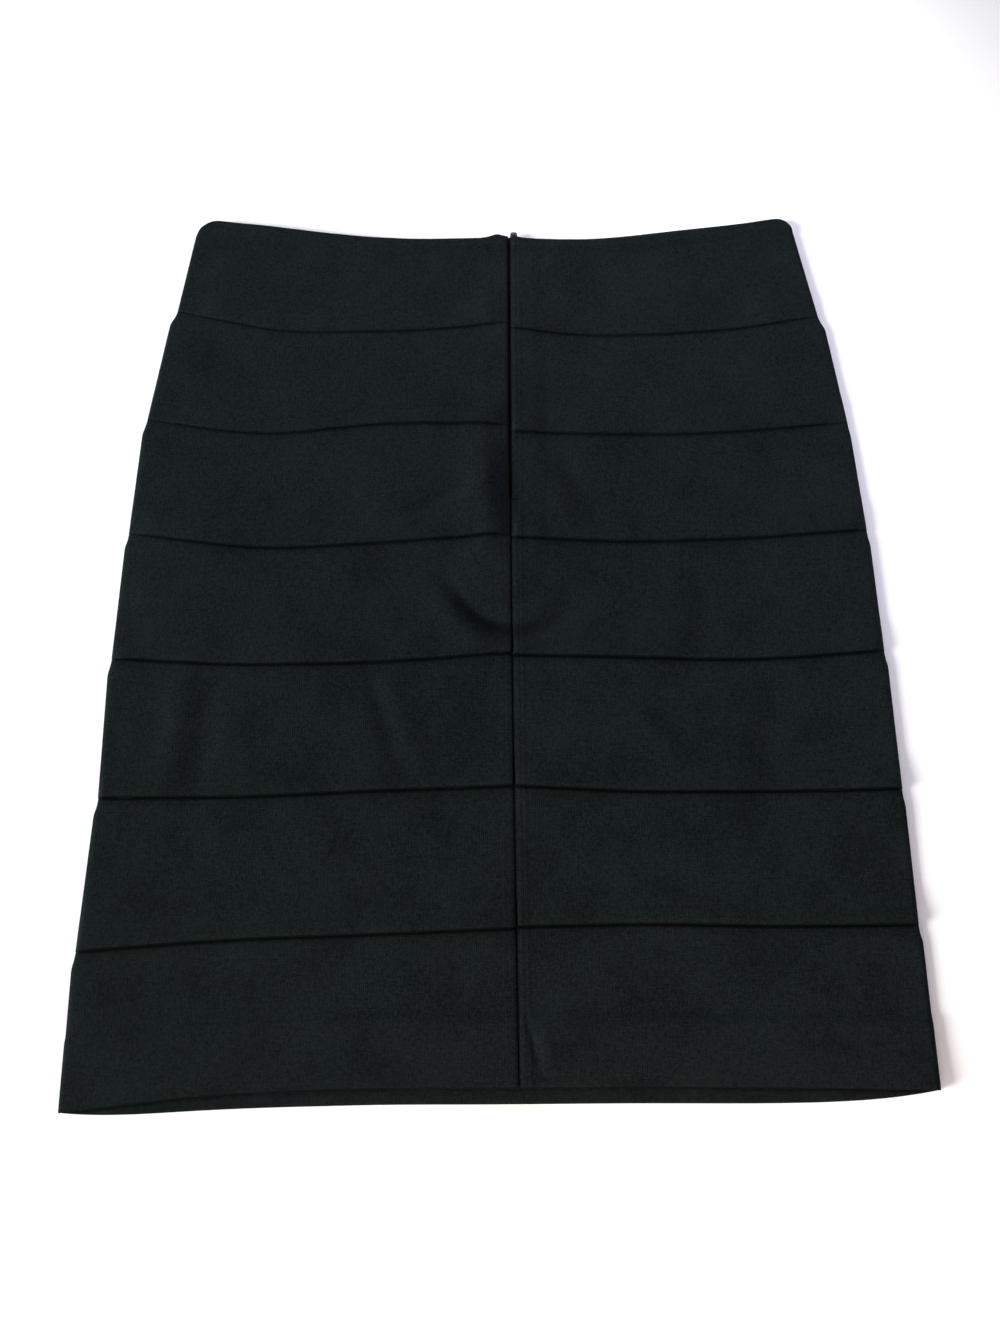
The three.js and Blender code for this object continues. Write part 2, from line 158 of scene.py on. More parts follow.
# Creases, given one by one: start, middle and end on the cloth, half width, rise
CREASE_COLUMNS = ("x0", "y0", "x1", "y1", "x2", "y2", "wide", "rise")
CREASES = [dict(zip(CREASE_COLUMNS, row)) for row in (
    (-33, 20, -6, -42, 46, 0, 6.0, -2.4),
    (8, 108, 4, 78, 8, 46, 8.0, -1.4),
    (-22, 30, -6, 12, 8, -2, 6.0, 1.0),
    (5, 69, 9, 68.4, 14, 69, 1.3, -0.8),
    (12, -8, 22, -4, 34, 6, 5.0, 0.9),
    (-67, 57, -38, 66, -14, 92, 7.0, -1.3),
    (-60, 44, -34, 44, -8, 34, 7.0, 1.2),
    (14, -232, 17, -246, 21, -259, 2.4, -1.0),
    (23, -236, 25, -248, 28, -258, 3.2, 0.6),
    (-77, -40, -66, -75, -53, -108, 5.5, -1.1),
    (-66, -42, -54, -75, -40, -106, 8.0, 0.9),
    (82, -58, 104, -80, 122, -106, 8.0, -0.6),
    (66, -54, 90, -76, 108, -104, 7.0, 0.7),
    (26, 98, 30, 72, 44, 48, 7.0, 0.9),
    (38, 104, 46, 82, 60, 58, 6.0, -0.8),
    (-196, 168, -176, 150, -150, 128, 9.0, -0.3),
    (196, 160, 180, 142, 158, 126, 8.0, 0.8),
    (-140, -140, -120, -160, -88, -182, 8.0, 0.7),
    (60, -146, 92, -158, 128, -178, 9.0, -0.7),
)]

# Low waves that keep the cloth from lying dead flat: wavelengths along X and Y, phase, height
WAVE_COLUMNS = ("x", "y", "phase", "height")
WAVES = [dict(zip(WAVE_COLUMNS, row)) for row in (
    (190, 310, 0.6, 0.5),
    (97, -170, 2.1, 0.3),
    (58, 83, 4.2, 0.14),
    (-31, 47, 1.3, 0.06),
    (17, -29, 3.3, 0.03),
)]
# A crease gets wider from its start to its end; its half wave is cut off at both ends
CREASE = {"wide": (0.7, 1.3), "ends": 0.08, "points": 36}

# Stitch puckers beside the closed seam, weaker down the skirt and on the left, and the ridges
# of the seam allowances under the cloth
PUCKER = {"pitch": 3.6, "depth": 0.22, "width": 2.6, "sway": 0.6, "sway_length": 9.0,
          "weak_from": -60, "weak": 0.35, "left": 0.6}
RIDGE = {"places": (2.9, 5.8), "rise": 0.24, "width": 0.8, "left": 0.4}
UNDERSTITCH = {"down": 4.0, "depth": 0.16, "width": 0.7}  # catches the turned waist edge down
FRONT_CREASES = {"height": 0.3, "x": 66, "y": 148}  # waves in the inner face of the front

# Painted shade in the cloth's colour, in its creases, lap lines and seam: how dark it gets at most,
# and where it starts and ends: under a lap, on its edge, in the seam, at the hem. A crease past a
# depth gets painted shade by a share for each millimetre.
CREVICE_PAINTED_SHADE = {"dark": 0.8, "under": (0.5, 2.1), "edge": (0.2, 0.9), "seam": (0.15, 1.1), "hem": (0.2, 2.6)}
DEEP_CREASE_PAINTED_SHADE = {"from": -0.7, "shade": 0.45}

# A zip tape: its thickness, the points across it, and the cord woven into it beside the coil
TAPE = {"thick": 0.55, "edge": 0.55, "round": 0.5, "step": 2.0, "across": (1.8, 4, 7, 10, 11.7)}
TAPE_CORD = {"place": 3.2, "width": 0.7, "rise": 0.12}

# The turns of the two coils; reach is how far each one laps the other
COIL = {"pitch": 1.3, "wire": 0.2, "turn_points": 12, "wire_points": 6, "reach": 0.62,
        "half": 0.55, "tall": 0.28, "height": 0.4}
OFF_AXIS = (0.3, 0.9, 0.31)  # a direction that no part of a coil runs along

# Sections of the slider along Y from the waist edge: half width, underside and top
SLIDER_COLUMNS = ("y", "half", "low", "high")
SLIDER = [dict(zip(SLIDER_COLUMNS, row)) for row in (
    (-3.8, 1.0, 0.35, 0.65),
    (-3.6, 1.6, 0.12, 0.88),
    (-3.0, 2.1, 0.0, 1.0),
    (-1.6, 2.4, 0.0, 1.0),
    (-0.7, 2.5, 0.0, 1.0),
    (-0.4, 2.5, 0.0, 1.7),
    (-0.1, 2.5, 0.0, 2.5),
    (0.4, 2.45, 0.0, 2.85),
    (1.0, 2.4, 0.0, 2.9),
    (2.2, 2.25, 0.0, 2.8),
    (3.0, 2.0, 0.1, 2.45),
    (3.4, 1.6, 0.3, 1.9),
    (3.6, 1.0, 0.7, 1.4),
)]
SLIDER_POINTS = 28
SLIDER_SQUARE = 2.8  # how square its sections are

# Knit and weave: fuzz, the relief of the ribs, and the shares of fuzz, courses, wales and dye in
# the tone, each with its grain and its stretch
FUZZ = {"grain": 0.8, "relief": 1.4}
HEATHER = {
    "fuzz": 0.35,
    "layers": ((0.25, 0.9, (0.3, 1, 1)), (0.25, 0.9, (1, 0.3, 1)), (0.15, 30, (1, 1, 1))),
    "ramp": (0.4, 0.6),
}
RIBS = {"distortion": 1.2, "relief": 0.16, "strength": 0.7}
WEAR = {"stops": (0.35, 0.7), "gloss": 0.3, "relief": 0.05, "strength": 0.4}  # of hard trim

# The camera stands at the photograph's angle and looks at the middle of the skirt
CAMERA = {"aim_y": -38, "distance": 610, "elevation": 72, "focal_px": 1040,
          "long_side_px": 1333, "sensor": 36}
FLOOR = {"half": 4.0, "down": 0.0002}  # in metres

# Soft lamps, each aimed at the origin: place and size in metres, power, colour
LAMP_COLUMNS = ("name", "place", "size", "power", "color")
LAMPS = [dict(zip(LAMP_COLUMNS, row)) for row in (
    ("key_panel", (-4.15, -1.25, 1.75), 1.7, 455, (1.0, 0.99, 0.97)),
    ("waist_panel", (0.06, 0.54, 0.17), 0.3, 1.5, (0.84, 0.82, 1.0)),
    ("left_panel", (-0.48, 0.1, 0.13), 0.3, 0.7, (0.84, 0.82, 1.0)),
    ("right_panel", (0.46, 0.1, 0.14), 0.3, 1.1, (0.82, 0.82, 1.0)),
    ("hem_panel", (0.1, -0.52, 0.15), 0.3, 1.15, (1.0, 0.78, 0.68)),
)]
WORLD = {"color": (0.95, 0.98, 1.0), "strength": 0.13}

# Fineness of the cloth, in millimetres between points
ROW_STEP = 1.7
COLUMN_STEP = 1.8
FRONT_STEP = 3.4
LAP_STEP = 1.2  # where a band climbs onto the one below
TURN_STEP = 0.5  # along the turned waist edge
SHOULDER_STEP = 0.75  # just under a lap
SLOT_STEP = 0.8  # beside the zip
SIDE_STEP = 0.9  # beside a side roll
FRONT_EDGE_STEP = 1.5
FRONT_RAMP_STEP = 0.9
HIDDEN_ROW = -1.5  # the last row that a lap hides
ROW_MARGIN = 1  # finer rows run this far past their slope
ROUND_STEPS = 7  # points round a folded edge


def smoothstep(x, low, high):
    t = np.clip((x - low) / (high - low), 0, 1)
    return t * t * (3 - 2 * t)


def lerp(a, b, t):
    return a + (b - a) * t


def quarter_round(distance, width):
    """0 at the edge, 1 from the given width inwards."""
    f = np.clip(1 - distance / width, 0, 1)
    return np.sqrt(1 - f * f)


def through(values, t):
    """A smooth curve through evenly spaced values, t from 0 to 1."""
    last = len(values) - 1
    ends = [2 * values[0] - values[1], *values, 2 * values[last] - values[last - 1]]
    knots = np.array(ends, float)
    place = np.clip(t, 0, 1) * last
    i = np.minimum(np.floor(place), last - 1).astype(int)
    f = place - i
    rise = knots[i + 2] - knots[i + 1]
    slope_in = (knots[i + 2] - knots[i]) / 2
    slope_out = (knots[i + 3] - knots[i + 1]) / 2
    bend = f * (1 - f) * ((1 - f) * slope_in - f * slope_out)
    return knots[i + 1] + rise * f * f * (3 - 2 * f) + bend


def side_name(hand):
    return "left" if hand < 0 else "right"


# Lines and outlines of the pieces as they lie
def back_line(hand, line, u):
    row = LINES[line]
    side = side_name(hand)
    return through([row[f"{place}_{side}"] for place in ("seam", "inner", "outer", "side")], u)


def front_line(line, t):
    row = LINES[line]
    middle = (row["seam_left"] + row["seam_right"]) / 2
    knots = [row["side_left"], row["outer_left"], row["inner_left"], middle,
             row["inner_right"], row["outer_right"], row["side_right"]]
    drop = FRONT_DROP if line > 0 else FRONT_DROP_WAIST
    return through(knots, t) - drop * (1 - (2 * t - 1) ** FRONT_DROP_POWER)


def band_side(hand, band, y):
    row = SIDES[band]
    upper = back_line(hand, band, 1.0)
    lower = back_line(hand, band + 1, 1.0)
    side = side_name(hand)
    return lerp(row[f"{side}_low"], row[f"{side}_top"], (y - lower) / (upper - lower))


def side_x(hand, band, y):
    below = back_line(hand, band, 1.0) - y
    own = band_side(hand, band, y)
    if band == 0:
        radius = CORNER_RADIUS[side_name(hand)]
        return hand * (own - radius * (1 - quarter_round(below, radius)))
    hidden = band_side(hand, band - 1, y) - TUCK
    return hand * lerp(hidden, own, smoothstep(below, -SHOULDER_HIDDEN, SHOULDER))


def seam_x(y):
    top = LINES[0]["seam_right"]
    down = (top - y) / (top - LINES[BAND_COUNT]["seam_right"])
    return SEAM_TOP + (SEAM_LOW - SEAM_TOP) * down * np.abs(down)


def turned(distance, width):
    """Extra thickness of a turned-in edge, at a distance in from that edge."""
    return CLOTH * (1 - smoothstep(distance, width - TURN_SLOPE, width + TURN_SLOPE))


# Relief of the back
def zip_raise(from_seam, y):
    across = 1 - smoothstep(from_seam, ZIP["near"], ZIP["far"])
    along = smoothstep(y, ZIP["end"] - ZIP["tail"] - ZIP["fade"], ZIP["end"] - ZIP["tail"])
    return ZIP["raise"] * across * along


def fold_height(x, y):
    height = np.zeros_like(x)
    for fold in FOLDS:
        angle = math.radians(fold["turn"])
        dx, dy = x - fold["x"], y - fold["y"]
        along = (dx * math.cos(angle) + dy * math.sin(angle)) / fold["long"]
        across = (dy * math.cos(angle) - dx * math.sin(angle)) / fold["wide"]
        height += fold["rise"] * np.exp(-along ** 2 - across ** 2)
    return height


def crease_height(x, y):
    """Each crease runs along a bent line, deepest in its middle and gone at its ends."""
    height = np.zeros_like(x)
    for crease in CREASES:
        deepest = np.zeros_like(x)
        for t in np.linspace(0, 1, CREASE["points"]):
            px = (1 - t) ** 2 * crease["x0"] + 2 * t * (1 - t) * crease["x1"] + t * t * crease["x2"]
            py = (1 - t) ** 2 * crease["y0"] + 2 * t * (1 - t) * crease["y1"] + t * t * crease["y2"]
            wide = crease["wide"] * lerp(*CREASE["wide"], t)
            near = np.exp(-((x - px) ** 2 + (y - py) ** 2) / wide ** 2)
            strength = math.sin(math.pi * lerp(CREASE["ends"], 1 - CREASE["ends"], t))
            deepest = np.maximum(deepest, near * strength)
        height += crease["rise"] * deepest
    return height


def wave_height(x, y):
    height = np.zeros_like(x)
    for wave in WAVES:
        height += wave["height"] * np.sin(2 * math.pi * (x / wave["x"] + y / wave["y"]) + wave["phase"])
    return height


def seam_relief(hand, from_seam, y):
    """The closed centre seam dips, with small stitch puckers beside it that weaken down the skirt."""
    dip = -SEAM_DIP["depth"] * np.exp(-from_seam / SEAM_DIP["width"])
    closed = 1 - smoothstep(y, ZIP["end"] - SLOT["blend"], ZIP["end"])
    strength = lerp(PUCKER["weak"], 1, smoothstep(y, PUCKER["weak_from"], ZIP["end"]))
    strength = strength * (1 if hand > 0 else PUCKER["left"])
    sway = PUCKER["sway"] * np.sin(y / PUCKER["sway_length"])
    beat = 0.5 + 0.5 * np.sin(2 * math.pi * y / PUCKER["pitch"] + sway)
    puckers = -PUCKER["depth"] * closed * strength * beat * np.exp(-(from_seam / PUCKER["width"]) ** 2)
    ridges = sum(np.exp(-((from_seam - place) / RIDGE["width"]) ** 2) for place in RIDGE["places"])
    return dip + puckers + RIDGE["rise"] * ridges * (1 if hand > 0 else RIDGE["left"])


def waist_relief(below):
    """A faint line runs along the waist where its turned edge is caught down."""
    return -UNDERSTITCH["depth"] * np.exp(-((below - UNDERSTITCH["down"]) / UNDERSTITCH["width"]) ** 2)


def line_press(hand, line, from_seam, from_side):
    """1 where a lap line stands out, 0 where it lies pressed flat at the centre seam."""
    if not 0 < line < BAND_COUNT:
        return np.ones_like(from_seam)
    fades = LINE_FADES[line - 1]
    at_side = lerp(SIDE_KEEP, 1, smoothstep(from_side, 0, fades[f"side_{side_name(hand)}"]))
    return fades["stand"] * at_side * smoothstep(from_seam, 0, fades[f"seam_{side_name(hand)}"])


# Places of the rows and columns of points. A place is a share of the way between two offsets.
def round_places(width):
    angles = np.linspace(0, math.pi / 2, ROUND_STEPS)
    return list(width * (1 - np.cos(angles)))


def steps_between(low, high, step):
    count = max(2, round((high - low) / step))
    return list(np.linspace(low, high, count + 1)[1:])


def places(near, far, long, step):
    """Rows counted from the near edge, evenly spaced ones, and rows counted back from the far edge."""
    inner = max(2, round((long - near[-1] - far[-1]) / step))
    rows = [(0.0, distance, 0.0) for distance in near]
    rows += [(share, near[-1], far[-1]) for share in np.linspace(0, 1, inner + 1)[1:-1]]
    rows += [(1.0, 0.0, distance) for distance in reversed(far)]
    return np.array(rows).T


def back_rows(band):
    low = round_places(EDGE_ROLL) + steps_between(EDGE_ROLL, LAP + LAP_SLOPE + ROW_MARGIN, LAP_STEP)
    if band == 0:
        high = round_places(EDGE_ROLL) + steps_between(EDGE_ROLL, WAIST_TURN + TURN_SLOPE, TURN_STEP)
    else:
        high = [-LAP, -LAP / 2, HIDDEN_ROW]
        high += steps_between(HIDDEN_ROW, SHOULDER + ROW_MARGIN, SHOULDER_STEP)
    return places(low, high, LINES[band]["inner_left"] - LINES[band + 1]["inner_left"], ROW_STEP)


def back_columns():
    near = round_places(SLOT["round"]) + steps_between(SLOT["round"], ZIP["near"], SLOT_STEP)
    far = round_places(SIDE_ROLL) + steps_between(SIDE_ROLL, 2 * SIDE_ROLL, SIDE_STEP)
    return places(near, far, SIDES[-1]["left_low"], COLUMN_STEP)


def heights(place, lower, upper):
    share, low, high = (part[:, None] for part in place)
    return (1 - share) * (lower + low) + share * (upper - high)


def back_points(hand, band, outer):
    """Points of one face of a back half band, rows by columns, from the seam to the side."""
    rows = back_rows(band)
    share, near, far = back_columns()
    at_seam = heights(rows, back_line(hand, band + 1, 0.0), back_line(hand, band, 0.0))
    at_side = heights(rows, back_line(hand, band + 1, 1.0), back_line(hand, band, 1.0))
    zipped = smoothstep(at_seam, ZIP["end"] - SLOT["blend"], ZIP["end"] + SLOT["blend"])
    seam = seam_x(at_seam) + hand * (GAP / 2 + SLOT["open"] * zipped)
    width = np.abs(side_x(hand, band, at_side) - seam)
    inset = far if outer else far + CLOTH * (1 - smoothstep(far, 0, SIDE_ROLL))
    from_seam = (1 - share) * near + share * (width - inset)
    from_side = width - from_seam
    u = from_seam / width
    x = seam + hand * from_seam
    lower = back_line(hand, band + 1, u)
    upper = back_line(hand, band, u)
    y = heights(rows, lower, upper)
    above = y - lower
    below = upper - y
    z = back_height(hand, band, (x, y), (above, below), (from_seam, from_side), outer)
    if band == 0:
        hump = WAIST_HUMP[side_name(hand)]
        rise = hump["rise"] * np.exp(-((from_seam - hump["place"]) / hump["width"]) ** 2)
        y = y + rise * (1 - smoothstep(below, 0, WAIST_TURN))
    # Painted shade of the lap lines, the seam and the deepest creases, carried to the cloth's colour by
    # a point attribute
    shade = painted_shade(hand, band, (x, y), (above, below), (from_seam, from_side))
    return np.stack([x, y, z], axis=-1), shade


def painted_shade(hand, band, at, from_lines, from_sides):
    """Painted shade: 1 deep in the creases where bands lap and the halves meet, 0 on open cloth."""
    above, below = from_lines
    shade = 1 - smoothstep(from_sides[0], *CREVICE_PAINTED_SHADE["seam"])
    edge = line_press(hand, band + 1, *from_sides) ** 2 * (1 - smoothstep(above, *CREVICE_PAINTED_SHADE["edge"]))
    shade = np.maximum(shade, edge)
    if band > 0:
        under = line_press(hand, band, *from_sides) ** 2 * (1 - smoothstep(below, *CREVICE_PAINTED_SHADE["under"]))
        shade = np.maximum(shade, under)
    # The deepest creases get painted shade too
    deep = DEEP_CREASE_PAINTED_SHADE["shade"] * np.maximum(DEEP_CREASE_PAINTED_SHADE["from"] - crease_height(*at), 0)
    return np.clip(np.maximum(shade, deep), 0, 1)


def back_height(hand, band, at, from_lines, from_sides, outer):
    x, y = at
    above, below = from_lines
    from_seam, from_side = from_sides
    press = line_press(hand, band + 1, from_seam, from_side)
    press_top = line_press(hand, band, from_seam, from_side)
    rise = lerp(PRESSED["rise"], LAPPED, press)
    climb = LAP + LAP_CLEAR
    lapped = 1 - smoothstep(above, climb, climb + LAP_SLOPE) if band < BAND_COUNT - 1 else 0
    loose = fold_height(x, y) + crease_height(x, y) + wave_height(x, y)
    loose = loose * quarter_round(from_side, FOLD_FADE)
    under = BACK_FLOOR + rise * lapped + zip_raise(from_seam, y) + loose
    if band == BAND_COUNT - 1:
        under = under + HEM_LIFT["rise"] * (1 - smoothstep(above, 0, HEM_LIFT["width"]))
    strip = 1 - smoothstep(below, -STRIP_HIDDEN, STRIP_SLOPE)
    strip = lerp(strip, 1 - smoothstep(below, 0, STRIP_EDGE), STRIP_SHOWS)
    thick = lerp(CLOTH, lerp(PRESSED["strip"], STRIP, press_top), strip) if band > 0 else CLOTH
    if band == 0:
        thick = thick + turned(below, WAIST_TURN) + waist_relief(below)
    if band == BAND_COUNT - 1:
        thick = thick + turned(above, HEM_TURN)
    else:
        edge = 1 - smoothstep(above, FOLD_WIDTH - TURN_SLOPE, FOLD_WIDTH + TURN_SLOPE)
        folded = lerp(PRESSED["edge"], CLOTH + EDGE_FOLD, press) - CLOTH
        bead = np.exp(-((above - EDGE_BEAD["in"]) / EDGE_BEAD["width"]) ** 2)
        thick = thick + folded * edge + EDGE_BEAD["rise"] * bead * press
    roundness = quarter_round(above, EDGE_ROLL) * (quarter_round(below, EDGE_ROLL) if band == 0 else 1)
    zipped = smoothstep(y, ZIP["end"] - SLOT["blend"], ZIP["end"])
    at_slot = lerp(1, quarter_round(from_seam, SLOT["round"]), lerp(SLOT["closed"], 1, zipped))
    roundness = roundness * at_slot
    roundness = lerp(EDGE_KEEP, 1, roundness)
    rim = front_lift(band, below) + front_thickness(band, above, below) + GAP
    if outer:
        top = under + thick / 2 * (1 + roundness) + seam_relief(hand, from_seam, y)
        return lerp(rim, top, quarter_round(from_side, SIDE_ROLL))
    low = under + thick / 2 * (1 - roundness)
    return lerp(rim, low, smoothstep(from_side, CLOTH, ROLL_INSIDE))


# The front lies under the back, its outer face on the surface
def front_lift(band, below):
    return LAYER * (1 - smoothstep(below, 2 * GAP, FRONT_RAMP)) if band > 0 else np.zeros_like(below)


def front_thickness(band, above, below):
    at_hem = turned(above, HEM_TURN) if band == BAND_COUNT - 1 else 0
    at_waist = turned(below, WAIST_TURN) if band == 0 else 0
    return CLOTH + at_hem + at_waist


def back_hem(x):
    """The hem line of the back over a place of the front."""
    left = (SEAM_LOW - x) / (SEAM_LOW + SIDES[-1]["left_low"])
    right = (x - SEAM_LOW) / (SIDES[-1]["right_low"] - SEAM_LOW)
    return np.where(x < SEAM_LOW, back_line(-1, BAND_COUNT, left), back_line(1, BAND_COUNT, right))


def front_points(band, outer):
    low = round_places(EDGE_ROLL) + steps_between(EDGE_ROLL, FRONT_RAMP, FRONT_EDGE_STEP)
    if band == 0:
        turning = steps_between(EDGE_ROLL, WAIST_TURN + TURN_SLOPE, FRONT_EDGE_STEP)
        high = round_places(EDGE_ROLL) + turning
    else:
        high = [-LAP, -LAP / 2, 0] + steps_between(0, FRONT_RAMP + ROW_MARGIN, FRONT_RAMP_STEP)
    tall = LINES[band]["inner_left"] - LINES[band + 1]["inner_left"]
    rows = places(low, high, tall, FRONT_STEP)
    edge = round_places(EDGE_ROLL) + steps_between(EDGE_ROLL, 2 * SIDE_ROLL, FRONT_EDGE_STEP)
    share, near, far = places(edge, edge, 2 * SIDES[-1]["left_low"], FRONT_STEP)
    left = side_x(-1, band, heights(rows, front_line(band + 1, 0.0), front_line(band, 0.0)))
    right = side_x(1, band, heights(rows, front_line(band + 1, 1.0), front_line(band, 1.0)))
    x = (1 - share) * (left + near) + share * (right - far)
    t = (x - left) / (right - left)
    lower = front_line(band + 1, t)
    upper = front_line(band, t)
    y = heights(rows, lower, upper)
    above = y - lower
    below = upper - y
    from_side = np.minimum(x - left, right - x)
    thick = front_thickness(band, above, below)
    roundness = quarter_round(above, EDGE_ROLL) * quarter_round(from_side, EDGE_ROLL)
    if band == 0:
        roundness = roundness * quarter_round(below, EDGE_ROLL)
    roundness = lerp(EDGE_KEEP, 1, roundness)
    wave = np.sin(2 * math.pi * x / FRONT_CREASES["x"]) * np.sin(2 * math.pi * y / FRONT_CREASES["y"])
    crease = FRONT_CREASES["height"] * np.clip(wave, 0, 1) * quarter_round(from_side, FOLD_FADE)
    crease = crease * smoothstep(above, 0, FOLD_FADE) * smoothstep(below, 0, FOLD_FADE)
    z = front_lift(band, below) + thick / 2 * (1 + roundness if outer else 1 - roundness)
    # Painted shade on the front just below the back's hem, which overhangs it
    shade = np.zeros_like(x)
    if band == BAND_COUNT - 1:
        shade = 1 - smoothstep(back_hem(x) - y, *CREVICE_PAINTED_SHADE["hem"])
    return np.stack([x, y, z if outer else z + crease], axis=-1), shade


# From grids of points to Blender objects. The slider's box says how far the tables' zero is from
# the frame's.
seam_top = LINES[0]["seam_left"]
slider_low, slider_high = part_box("zip_slider")
CAD_SHIFT = np.array([
    (slider_low.x + slider_high.x) / 2 / MM - float(seam_x(seam_top)) - SLIDER_LEAN,
    slider_high.y / MM - seam_top - SLIDER_CROWN,
    slider_low.z / MM - BACK_FLOOR,
])


def wall_faces(rows, columns):
    """Quads of a closed wall between an upper grid and a lower one, numbered one after the other."""
    upper = np.arange(rows * columns).reshape(rows, columns)
    lower = upper + rows * columns

    def quads(a, b, c, d):
        return np.stack([a, b, c, d], axis=-1).reshape(-1, 4)

    return np.concatenate([
        quads(upper[:-1, :-1], upper[:-1, 1:], upper[1:, 1:], upper[1:, :-1]),
        quads(lower[:-1, :-1], lower[1:, :-1], lower[1:, 1:], lower[:-1, 1:]),
        quads(lower[0, :-1], lower[0, 1:], upper[0, 1:], upper[0, :-1]),
        quads(lower[-1, 1:], lower[-1, :-1], upper[-1, :-1], upper[-1, 1:]),
        quads(lower[1:, 0], lower[:-1, 0], upper[:-1, 0], upper[1:, 0]),
        quads(lower[:-1, -1], lower[1:, -1], upper[1:, -1], upper[:-1, -1]),
    ])


def mesh_object(name, points, faces, material):
    mesh = bpy.data.meshes.new(name)
    mesh.from_pydata(((points + CAD_SHIFT) * MM).tolist(), [], faces)
    mesh.polygons.foreach_set("use_smooth", [True] * len(mesh.polygons))
    mesh.materials.append(material)
    piece = bpy.data.objects.new(name, mesh)
    bpy.context.scene.collection.objects.link(piece)
    return piece


def wall_object(name, upper, lower, material):
    rows, columns = upper.shape[:2]
    points = np.concatenate([upper.reshape(-1, 3), lower.reshape(-1, 3)])
    return mesh_object(name, points, wall_faces(rows, columns).tolist(), material)


def cloth_object(name, upper, lower):
    """A wall of cloth whose points also say how much painted shade darkens them in creases."""
    piece = wall_object(name, upper[0], lower[0], knit)
    # The painted shade of each point, read by the cloth's material
    layer = piece.data.attributes.new("painted_shade", "FLOAT", "POINT")
    layer.data.foreach_set("value", np.concatenate([upper[1].ravel(), lower[1].ravel()]))
    return piece


def stand_for(piece, node):
    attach(piece, "root")
    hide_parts(node)


# Materials
def new_material(name):
    material = bpy.data.materials.new(name)
    material.use_nodes = True
    return material, material.node_tree.nodes, material.node_tree.links


def wave_node(nodes, links, coordinates, direction, spacing, distortion):
    """Ribs across the given direction, spaced in millimetres."""
    wave = nodes.new("ShaderNodeTexWave")
    wave.bands_direction = direction
    wave.inputs["Scale"].default_value = math.pi / 10 / (spacing * MM)
    wave.inputs["Distortion"].default_value = distortion
    wave.inputs["Detail"].default_value = 1.0
    wave.inputs["Detail Scale"].default_value = 2.0
    links.new(coordinates, wave.inputs["Vector"])
    return wave.outputs["Fac"]


def noise_node(nodes, links, coordinates, size, detail):
    """Cloudy variation whose grains measure the given millimetres."""
    noise = nodes.new("ShaderNodeTexNoise")
    noise.inputs["Scale"].default_value = 1 / (size * MM)
    noise.inputs["Detail"].default_value = detail
    links.new(coordinates, noise.inputs["Vector"])
    return noise.outputs["Fac"]


def stretched(nodes, links, coordinates, scale):
    mapping = nodes.new("ShaderNodeMapping")
    mapping.inputs["Scale"].default_value = scale
    links.new(coordinates, mapping.inputs["Vector"])
    return mapping.outputs["Vector"]


def math_node(nodes, links, operation, first, second):
    node = nodes.new("ShaderNodeMath")
    node.operation = operation
    for socket, value in zip(node.inputs, (first, second)):
        if isinstance(value, (int, float)):
            socket.default_value = value
        else:
            links.new(value, socket)
    return node.outputs["Value"]


def bump_node(nodes, links, height, distance, strength):
    bump = nodes.new("ShaderNodeBump")
    bump.inputs["Distance"].default_value = distance * MM
    bump.inputs["Strength"].default_value = strength
    links.new(height, bump.inputs["Height"])
    return bump.outputs["Normal"]


def ramp_node(nodes, links, fac, stops):
    ramp = nodes.new("ShaderNodeValToRGB")
    elements = ramp.color_ramp.elements
    for element, (place, color) in zip(elements, stops):
        element.position = place
        element.color = (*color, 1)
    links.new(fac, ramp.inputs["Fac"])
    return ramp.outputs["Color"]


def textile(name, wale, course, dark, light, sheen):
    """Fine knit or weave: ribs both ways, heathered yarn, fuzz, a slightly uneven dye and painted
    shade.
    """
    material, nodes, links = new_material(name)
    shader = nodes["Principled BSDF"]
    where = nodes.new("ShaderNodeTexCoord").outputs["Object"]
    wales = wave_node(nodes, links, where, "X", wale, RIBS["distortion"])
    courses = wave_node(nodes, links, where, "Y", course, RIBS["distortion"])
    fuzz = noise_node(nodes, links, where, FUZZ["grain"], detail=2.0)
    stitches = math_node(nodes, links, "MULTIPLY", wales, courses)
    fibres = math_node(nodes, links, "MULTIPLY", fuzz, FUZZ["relief"])
    relief = math_node(nodes, links, "ADD", stitches, fibres)
    normal = bump_node(nodes, links, relief, RIBS["relief"], RIBS["strength"])
    links.new(normal, shader.inputs["Normal"])
    tone = math_node(nodes, links, "MULTIPLY", fuzz, HEATHER["fuzz"])
    for share, size, stretch in HEATHER["layers"]:
        layer = noise_node(nodes, links, stretched(nodes, links, where, stretch), size, detail=2.0)
        tone = math_node(nodes, links, "ADD", tone, math_node(nodes, links, "MULTIPLY", layer, share))
    low, high = HEATHER["ramp"]
    shaded = nodes.new("ShaderNodeVectorMath")
    shaded.operation = "SCALE"
    links.new(ramp_node(nodes, links, tone, ((low, dark), (high, light))), shaded.inputs["Vector"])
    # Painted shade: the colour darkens where the cloth's point attribute marks creases, lap lines, the
    # seam and the hem
    depth = nodes.new("ShaderNodeAttribute")
    depth.attribute_name = "painted_shade"
    shade = math_node(nodes, links, "MULTIPLY", depth.outputs["Fac"], CREVICE_PAINTED_SHADE["dark"])
    links.new(math_node(nodes, links, "SUBTRACT", 1.0, shade), shaded.inputs["Scale"])
    links.new(shaded.outputs["Vector"], shader.inputs["Base Color"])
    shader.inputs["Roughness"].default_value = 0.92
    shader.inputs["Specular IOR Level"].default_value = 0.05
    shader.inputs["Sheen Weight"].default_value = sheen["weight"]
    shader.inputs["Sheen Roughness"].default_value = sheen["roughness"]
    shader.inputs["Sheen Tint"].default_value = (*sheen["tint"], 1)
    return material


